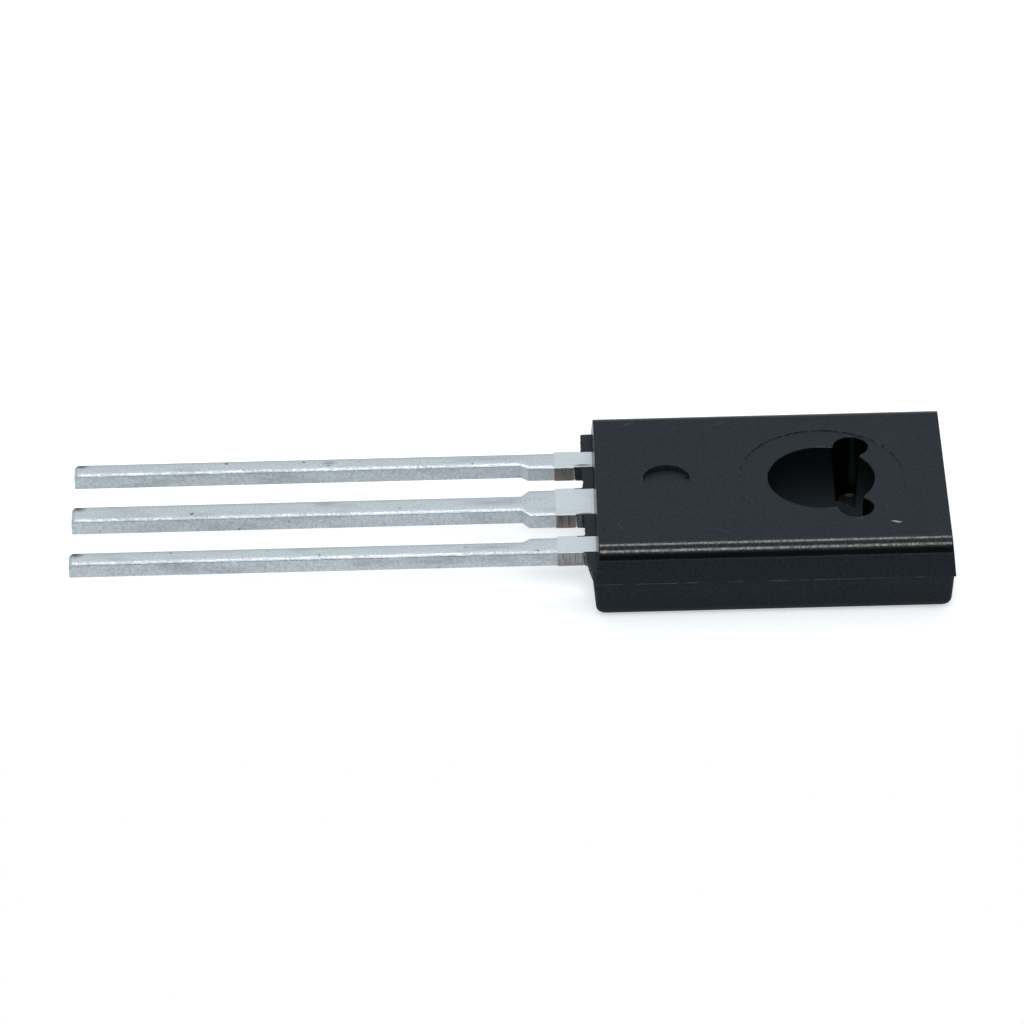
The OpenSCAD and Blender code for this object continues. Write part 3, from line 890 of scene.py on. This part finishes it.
    def upper_rings(self, s, start, end):
        """Rings along the upper half: its section, drawn in at both ends through a rounded edge."""
        half, top, parting, draft = CASE_HIGH.y, CASE_HIGH.z, LEAD_LOW.z, s.upper_draft
        centre_z = top - s.front_radius
        centre_y = half - (s.front_radius + (centre_z - parting) * math.sin(draft)) / math.cos(draft)
        rings = []
        steps, edge_steps = 4, 14
        for side, wall in ((1, start), (-1, end)):
            for step in range(steps + 1) if side > 0 else range(steps, -1, -1):
                turn = math.pi / 2 * step / steps
                inset = s.edge_break * (1 - math.sin(turn))
                along = s.edge_break * (1 - math.cos(turn))
                right = [(half - inset / math.cos(draft), parting)]
                right += arc((centre_y, centre_z), s.front_radius - inset, draft, math.pi / 2, edge_steps)
                right.append((centre_y, top - inset))
                section = right + [(-y, z) for y, z in reversed(right)]
                rings.append(
                    [(wall + side * ((z - parting) * math.tan(draft) + along), y, z) for y, z in section]
                )
        return rings

    def lower_rings(self, s, start, end):
        """Rings down the lower half: rounded oblongs, drawn in by the draft and the back radius."""
        half, parting, draft = CASE_HIGH.y - s.ledge, LEAD_LOW.z, s.lower_draft
        drawn = (s.back_radius + (parting - s.back_radius) * math.sin(draft)) / math.cos(draft)
        levels = [(0, parting)]
        steps, corner_steps = 10, 5
        for step in range(steps + 1):
            turn = draft + (math.pi / 2 - draft) * step / steps
            levels.append((drawn - s.back_radius * math.cos(turn), s.back_radius * (1 - math.sin(turn))))
        rings = []
        for inset, height in levels:
            ring = []
            for quarter, x, y in ((0, end, half), (1, start, half), (2, start, -half), (3, end, -half)):
                corner = (
                    x - math.copysign(inset + s.corner_radius, x - (start + end) / 2),
                    y - math.copysign(inset + s.corner_radius, y),
                )
                turn, end_turn = quarter * math.pi / 2, quarter * math.pi / 2 + math.pi / 2
                ring += arc(corner, s.corner_radius, turn, end_turn, corner_steps)
                ring += arc(corner, s.corner_radius, end_turn, end_turn, 1)
            rings.append([(x, y, height) for x, y in ring])
        return rings


class THYRISTOR_OT_flash(bpy.types.Operator):
    """Models the flash that the mould leaves between the leads"""

    bl_idname = "thyristor.flash"
    bl_label = "Moulding flash"

    def execute(self, context):
        colours = context.scene.thyristor_colours
        s = millimetres(context.scene.thyristor_flash)
        lead = millimetres(context.scene.thyristor_leads)
        case = millimetres(context.scene.thyristor_case)
        end = lead_end()
        edge, root = end - s.reach, end + s.reach
        outer = lead.pitch + lead.outer_width / 2
        inner = outer - lead.outer_wide
        centre = lead.centre_wide / 2
        side = CASE_HIGH.y - s.inset
        corner = CASE_HIGH.y - case.ledge
        tail = edge - s.skin_length

        def gap_outline(low, high):
            """Plan of the flash between two leads: two thin skins with a square gap between them."""
            bend = edge - s.fillet
            upper = arc((bend, high - s.skin - s.fillet), s.fillet, math.pi / 2, 0, 6)
            lower = arc((bend, low + s.skin + s.fillet), s.fillet, 0, -math.pi / 2, 6)
            return [
                (root, low),
                (root, high),
                (tail, high),
                (tail, high - s.skin),
                *upper,
                (edge, high - s.skin - s.fillet),
                *lower,
                (bend, low + s.skin),
                (tail, low + s.skin),
                (tail, low),
            ]

        outlines = (
            gap_outline(centre, inner),
            gap_outline(-inner, -centre),
            # Beyond the cathode lead, with its corner crumbled
            [
                (root, outer),
                (root, side),
                (edge + 0.03, side),
                (edge - 0.02, side - 0.05),
                (edge - 0.03, outer),
            ],
            # Beyond the gate lead, drawn back along its side
            [
                (root, -corner),
                (root, -outer),
                (edge - s.fillet, -outer),
                (edge, -outer - s.fillet),
                (end - case.shift, -corner),
            ],
        )
        flash = None
        for outline in outlines:
            piece = loft("flash", self.torn_rings(outline, root, s))
            flash = piece if flash is None else flash
            activate(flash)
            piece.select_set(True)
            if piece is not flash:
                bpy.ops.object.join()
        # Glossy resin on one skin, and resin so thin that the tin shows through on the other
        glossy, thin = 1, 2
        for index, wall in ((glossy, inner), (thin, -centre)):
            paint(
                flash,
                index,
                lambda c, n: abs(c.y - wall + s.skin) < 0.02 and n.y < -0.9 and c.x < edge - s.fillet,
            )
        paint(
            flash,
            thin,
            lambda c, n: n.x < -0.4 and n.y < -0.4 and abs(c.y + outer + s.fillet / 2) < s.fillet / 2,
        )
        finish_piece(
            flash,
            "mould_flash",
            (
                epoxy_material("torn_epoxy", colours.epoxy_torn, colours, 0.6, 0.015, 0.15, 0.9),
                epoxy_material("glossy_epoxy", colours.epoxy_glossy, colours, 0.2, 0.003, 0.5, 0.1),
                resin_material("thin_resin", colours.epoxy_worn_and_highlight, colours.resin_thin, 0.12),
            ),
            ("moulded_case",),
            smooth=40,
        )
        return {"FINISHED"}

    def torn_rings(self, outline, root, s):
        """Rings up through the flash, finely divided and unevenly torn where they are free."""
        low, high = LEAD_LOW.z, LEAD_HIGH.z
        division, fade, grain = 0.06, 0.05, 0.15
        fine = []
        for first, second in zip(outline, outline[1:] + outline[:1]):
            first, second = Vector(first), Vector(second)
            parts = max(1, round((second - first).length / division))
            fine += [first.lerp(second, i / parts) for i in range(parts)]
        rings = []
        levels = 8
        for level in range(levels + 1):
            height = low + (high - low) * level / levels
            ring = []
            for point in fine:
                free = min(1, max(0, (root - s.reach - point.x) / fade))
                at = Vector((point.x, point.y, height)) / grain
                torn = noise.noise(at) + 0.6 * noise.noise(at * 2.7)
                away = s.lean * (0.5 - level / levels) + s.tear * torn
                ring.append((point.x + free * away, point.y, height))
            rings.append(ring)
        return rings


def strip_section(low_y, high_y, low_z, high_z, roll_width, roll_depth, steps=8):
    """Section of a stamped strip with rolled upper edges, from its low foot round to its high foot."""
    points = [(low_y + FOOT_BEVEL, low_z), (low_y, low_z + FOOT_BEVEL)]
    for i in range(steps + 1):
        turn = math.pi / 2 * i / steps
        across = roll_width * (1 - math.cos(turn) ** ROLL_POWER)
        points.append((low_y + across, high_z - roll_depth * (1 - math.sin(turn) ** ROLL_POWER)))
    mirrored = [(low_y + high_y - y, z) for y, z in reversed(points)]
    return points + mirrored


def lead_rings(lead, narrow, wide, inside, longer=0):
    """Rings of points along a lead, from its tip to a place inside the case.

    narrow and wide are the lowest and highest Y of its two widths. The dam bar's cut is longer
    on the low side where longer is -1, and on the high side where it is 1.
    """
    low, high = LEAD_LOW.z, LEAD_HIGH.z
    end = lead_end()
    tip, tip_corner = LEAD_LOW.x, 0.03
    wide_start = end - lead.wide_length
    bar_end = end - lead.bar_gap
    bar_start = bar_end - lead.bar_width

    def rolled(sides, drop=0.0):
        return strip_section(*sides, low, high - drop, lead.roll_width, lead.roll_depth)

    def pressed(sides):
        return strip_section(*sides, low, high, FOOT_BEVEL, FOOT_BEVEL)

    stub = (wide[0] - lead.bar_stub, wide[1] + lead.bar_stub)
    outer_stub = (stub[0] if longer < 0 else wide[0], stub[1] if longer > 0 else wide[1])
    stations = [
        (tip, rolled((narrow[0] + tip_corner, narrow[1] - tip_corner), lead.tip_bevel)),
        (tip + tip_corner, rolled(narrow, lead.tip_bevel * 0.6)),
        (tip + lead.tip_bevel, rolled(narrow)),
        (wide_start - lead.taper, rolled(narrow)),
        (wide_start, rolled(wide)),
        (bar_start - 0.01, rolled(wide)),
        (bar_start, pressed(wide)),
        (bar_start + STEP, pressed(stub)),
        (bar_end - STEP, pressed(stub)),
        (bar_end, pressed(outer_stub)),
        (bar_end + lead.bar_longer - STEP, pressed(outer_stub)),
        (bar_end + lead.bar_longer, pressed(wide)),
        (inside, pressed(wide)),
    ]
    return [[(x, y, z) for y, z in section] for x, section in stations]


def paint_cuts(piece, lead, wide):
    """Gives the sheared faces of the dam bar the copper, which is a lead's second material."""
    copper, proud = 1, 0.01
    bar_start = lead_end() - lead.bar_gap - lead.bar_width
    cut_end = lead_end() - lead.bar_gap + lead.bar_longer
    paint(
        piece,
        copper,
        lambda c, n: bar_start < c.x < cut_end
        and abs(n.y) > 0.9
        and not wide[0] - proud < c.y < wide[1] + proud,
    )


class THYRISTOR_OT_outer_leads(bpy.types.Operator):
    """Models the cathode lead and the gate lead"""

    bl_idname = "thyristor.outer_leads"
    bl_label = "Outer leads"

    def execute(self, context):
        colours = context.scene.thyristor_colours
        lead = millimetres(context.scene.thyristor_leads)
        outer = lead.pitch + lead.outer_width / 2
        post_start = lead_end() + lead.post_from_end
        materials = (
            tin_material("matt_tin", colours),
            copper_material("sheared_copper", colours, LEAD_LOW.z),
        )
        for name, node, side in (("cathode_pin", "cathode_lead", 1), ("gate_pin", "gate_lead", -1)):
            narrow = sorted((side * (outer - lead.outer_width), side * outer))
            wide = sorted((side * (outer - lead.outer_wide), side * outer))
            # The strip runs a little way into the post
            into_post = 0.1
            pin = loft(name, lead_rings(lead, narrow, wide, post_start + into_post, side))
            paint_cuts(pin, lead, wide)
            post = add_box("post", (post_start, LEAD_LOW.y, LEAD_LOW.z), LEAD_HIGH)
            if side < 0:
                for vertex in post.data.vertices:
                    vertex.co.y -= LEAD_LOW.y + LEAD_HIGH.y
            post_edge = 0.04
            round_edges(post, (post_edge,), (lambda e: True,), segments=2)
            carve(pin, post, "UNION")
            finish_piece(pin, name, materials, (node,))
        return {"FINISHED"}


class THYRISTOR_OT_anode_frame(bpy.types.Operator):
    """Models the centre lead and the heat-sink tab"""

    bl_idname = "thyristor.anode_frame"
    bl_label = "Anode frame"

    def execute(self, context):
        colours = context.scene.thyristor_colours
        lead = millimetres(context.scene.thyristor_leads)
        case = millimetres(context.scene.thyristor_case)
        narrow = (-lead.centre_width / 2, lead.centre_width / 2)
        wide = (-lead.centre_wide / 2, lead.centre_wide / 2)
        start = lead_end()
        bend_start = start + lead.straight
        tab_start = start + lead.tab_from_end
        thick = LEAD_HIGH.z - LEAD_LOW.z

        # Two equal bends take the strip down to the tab
        run, fall = tab_start - bend_start, LEAD_LOW.z - 2 * lead.bend_radius
        slope = math.sqrt(run**2 + fall**2 - 4 * lead.bend_radius**2)
        bend = math.atan2(2 * lead.bend_radius, slope) + math.atan2(fall, run)
        half = thick / 2
        upper = (bend_start, LEAD_LOW.z + half - lead.bend_radius)
        lower = (tab_start, half + lead.bend_radius)
        rings = lead_rings(lead, narrow, wide, bend_start)
        section = [(y, z - LEAD_LOW.z - half) for _, y, z in rings[-1]]
        steps = 10
        quarter = math.pi / 2
        for centre, side, start_turn, end_turn in (
            (upper, 1, quarter, quarter - bend),
            (lower, -1, -quarter - bend, -quarter),
        ):
            for step in range(1 if side > 0 else 0, steps + 1):
                turn = start_turn + (end_turn - start_turn) * step / steps
                ring = []
                for y, off in section:
                    out = lead.bend_radius + side * off
                    ring.append((centre[0] + math.cos(turn) * out, y, centre[1] + math.sin(turn) * out))
                rings.append(ring)
        into_tab = 0.2
        rings.append([(tab_start + into_tab, y, half + off) for y, off in section])
        pin = loft("anode_pin", rings)
        paint_cuts(pin, lead, wide)

        # Tab with its hole and the locking step coined under its three free edges
        tab_end, tab_side = FRAME_HIGH.x, FRAME_HIGH.y
        tab = add_box("tab", (tab_start, -tab_side, lead.lock_height), (tab_end, tab_side, thick))
        foot = add_box(
            "foot",
            (tab_start, -tab_side + lead.lock_width, FRAME_LOW.z),
            (tab_end - lead.lock_width, tab_side - lead.lock_width, thick * 0.8),
        )
        foot_edge = 0.03
        at_back = (lambda e: all(v.co.z < STEP for v in e.verts),)
        round_edges(foot, (foot_edge,), at_back, segments=3)
        carve(tab, foot, "UNION")
        lining = case.hole_radius + case.lining
        carve(tab, add_round("hole", lining, -PAST, PAST))
        for side in (1, -1):
            pin_place = (lead.dimple_x, side * lead.dimple_y)
            # Rings from the dimple's floor to above its rim: share of its radius, share of its depth
            dimple = [
                round_ring(pin_place, lead.dimple_radius * wide_part, thick - lead.dimple_depth * depth, 32)
                for wide_part, depth in ((0.3, 1), (0.65, 0.85), (0.9, 0.45), (1, 0), (1.1, -0.5))
            ]
            carve(tab, loft("dimple", dimple))
        carve(pin, tab, "UNION")
        # Painted shade on the tab's tin where the dimples lie under the ears
        shaded_floor = 2
        paint(
            pin,
            shaded_floor,
            lambda c, n: c.z < thick - STEP
            and n.z > 0.3
            and math.hypot(c.x - lead.dimple_x, abs(c.y) - lead.dimple_y) < lead.dimple_radius,
        )
        finish_piece(
            pin,
            "anode_pin_and_tab",
            (
                bpy.data.materials["matt_tin"],
                bpy.data.materials["sheared_copper"],
                # Painted shade on the tin at the foot of the ears, dark brown, with a painted glint at their
                # far side
                resin_material(
                    "tin_painted_shade_and_glint",
                    colours.ear_foot_shade,
                    colours.ear_foot_lighter_shade,
                    0.1,
                    colours.tin_painted_glint,
                    [(lead.dimple_x, side * (lead.dimple_y + 0.25)) for side in (1, -1)],
                ),
            ),
            ("anode_frame",),
        )
        return {"FINISHED"}


class THYRISTOR_OT_inner_parts(bpy.types.Operator):
    """Gives the die, its solder and the bond wires their finishes"""

    bl_idname = "thyristor.inner_parts"
    bl_label = "Die and bond wires"

    def execute(self, context):
        colours = context.scene.thyristor_colours
        # Passivated silicon is dark, hard and nearly mirror smooth
        silicon = inner_material("passivated_silicon", colours.silicon, 0.3, 0.18, 0.3)
        # Die-attach solder is a soft lead-tin alloy with a frosty skin
        solder = inner_material("die_attach_solder", colours.solder, 1, 0.4, 0.08)
        # Drawn aluminium wire is bright, with fine die lines
        wire = inner_material("drawn_aluminium", colours.aluminium, 1, 0.28, 0.05)
        for node, material in (
            ("silicon_die", silicon),
            ("die_solder", solder),
            ("cathode_wire", wire),
            ("gate_wire", wire),
        ):
            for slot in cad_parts[node].material_slots:
                slot.material = material
        return {"FINISHED"}


class THYRISTOR_OT_stage(bpy.types.Operator):
    """Sets the white card, the two soft lights, the sky and the camera"""

    bl_idname = "thyristor.stage"
    bl_label = "Stage"

    def execute(self, context):
        scene = context.scene
        colours = scene.thyristor_colours
        stage = scene.thyristor_stage

        # White card: it glows for the camera, and a little for glossy surfaces
        card_size, camera_glow, glossy_share = 3, 0.53, 0.21
        bpy.ops.object.select_all(action="DESELECT")
        bpy.ops.mesh.primitive_plane_add(size=card_size, location=(0, card_size / 2 - 0.010, -0.00002))
        card = place(bpy.context.object, "white_card")
        material, tree = new_material("matt_white_card")
        path = add_node(tree, "ShaderNodeLightPath").outputs
        seen = add_node(
            tree,
            "ShaderNodeMath",
            (path["Is Glossy Ray"], glossy_share, path["Is Camera Ray"]),
            operation="MULTIPLY_ADD",
        )
        diffuse = add_node(tree, "ShaderNodeBsdfDiffuse", {"Color": (*colours.card, 1)})
        glow = add_node(tree, "ShaderNodeEmission", {"Color": (1, 1, 1, 1), "Strength": camera_glow})
        glow_seen = add_node(tree, "ShaderNodeMixShader", {0: seen, 2: glow})
        both = add_node(tree, "ShaderNodeAddShader", (diffuse, glow_seen))
        add_node(tree, "ShaderNodeOutputMaterial", (both,))
        card.data.materials.append(material)

        # Two soft boxes: one behind the object, one over the camera
        self.add_light("far_softbox", 180, 65, 0.4, 0.12, 0.24)
        self.add_light("near_softbox", 0, 58, 0.4, 0.11, 0.26)

        # Plain grey sky, white where the camera sees it, and dim behind the camera
        world = bpy.data.worlds.new("studio")
        scene.world = world
        world.use_nodes = True
        tree = world.node_tree
        tree.nodes.clear()
        path = add_node(tree, "ShaderNodeLightPath").outputs
        facing = add_node(tree, "ShaderNodeTexCoord").outputs["Generated"]
        across = add_node(tree, "ShaderNodeSeparateXYZ", (facing,)).outputs["Y"]
        level = add_node(
            tree,
            "ShaderNodeMapRange",
            (across, -0.92, -0.7, 0.04, 0.62),
            interpolation_type="SMOOTHSTEP",
        )
        sky = add_node(tree, "ShaderNodeBackground", {"Color": (0.85, 0.94, 1, 1), "Strength": level})
        white = add_node(tree, "ShaderNodeBackground", {"Color": (1, 1, 1, 1), "Strength": 1})
        both = add_node(tree, "ShaderNodeMixShader", (path["Is Camera Ray"], sky, white))
        add_node(tree, "ShaderNodeOutputWorld", (both,))
        scene.view_settings.view_transform = "Standard"

        # Camera
        a, e, r = stage.azimuth, stage.elevation, stage.roll
        back = Vector((math.sin(a) * math.cos(e), -math.cos(a) * math.cos(e), math.sin(e)))
        flat_right = Vector((math.cos(a), math.sin(a), 0))
        flat_up = back.cross(flat_right)
        right = math.cos(r) * flat_right + math.sin(r) * flat_up
        up = -math.sin(r) * flat_right + math.cos(r) * flat_up
        data = bpy.data.cameras.new("camera")
        data.lens = stage.lens
        data.sensor_width = 36
        data.clip_start = 0.01
        data.clip_end = 10
        camera = bpy.data.objects.new("camera", data)
        scene.collection.objects.link(camera)
        turn = Matrix((right, up, back)).transposed().to_4x4()
        eye = stage.distance * back + stage.across * right + stage.along * up
        camera.matrix_world = Matrix.Translation(eye) @ turn
        scene.camera = camera
        return {"FINISHED"}

    def add_light(self, name, turn, height, distance, size, power):
        """A square soft box that looks at the object, in degrees, metres and watts.

        A turn of 0 puts it over the camera.
        """
        a, e = math.radians(turn), math.radians(height)
        towards = Vector((math.sin(a) * math.cos(e), -math.cos(a) * math.cos(e), math.sin(e)))
        aim = Vector((-0.004, 0, 0.001))
        data = bpy.data.lights.new(name, "AREA")
        data.shape = "SQUARE"
        data.size = size
        data.energy = power
        light = bpy.data.objects.new(name, data)
        bpy.context.scene.collection.objects.link(light)
        light.location = aim + towards * distance
        light.rotation_mode = "QUATERNION"
        light.rotation_quaternion = towards.to_track_quat("Z", "Y")


class THYRISTOR_PT_panel(bpy.types.Panel):
    """Lists the pieces of the thyristor"""

    bl_idname = "THYRISTOR_PT_panel"
    bl_label = "Thyristor"
    bl_space_type = "VIEW_3D"
    bl_region_type = "UI"
    bl_category = "Thyristor"

    def draw(self, context):
        for operator in OPERATORS:
            self.layout.operator(operator.bl_idname)
        for group in GROUPS:
            box = self.layout.box()
            held = getattr(context.scene, group)
            for key in held.__annotations__:
                box.prop(held, key)


OPERATORS = (
    THYRISTOR_OT_case,
    THYRISTOR_OT_flash,
    THYRISTOR_OT_outer_leads,
    THYRISTOR_OT_anode_frame,
    THYRISTOR_OT_inner_parts,
    THYRISTOR_OT_stage,
)
GROUPS = {
    "thyristor_case": ThyristorCase,
    "thyristor_flash": ThyristorFlash,
    "thyristor_leads": ThyristorLeads,
    "thyristor_colours": ThyristorColours,
    "thyristor_stage": ThyristorStage,
}


def register():
    """Registers the classes and hangs the settings on the scene."""
    for item in (*GROUPS.values(), *OPERATORS, THYRISTOR_PT_panel):
        bpy.utils.register_class(item)
    for key, group in GROUPS.items():
        setattr(bpy.types.Scene, key, bpy.props.PointerProperty(type=group))


def unregister():
    """Takes the settings and the classes away."""
    for key in GROUPS:
        delattr(bpy.types.Scene, key)
    for item in (THYRISTOR_PT_panel, *reversed(OPERATORS), *reversed(GROUPS.values())):
        bpy.utils.unregister_class(item)


def main():
    """Registers the add-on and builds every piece."""
    register()
    for operator in OPERATORS:
        name = operator.bl_idname.split(".")[1]
        getattr(bpy.ops.thyristor, name)()
    bpy.context.view_layer.update()


if __name__ == "__main__":
    main()
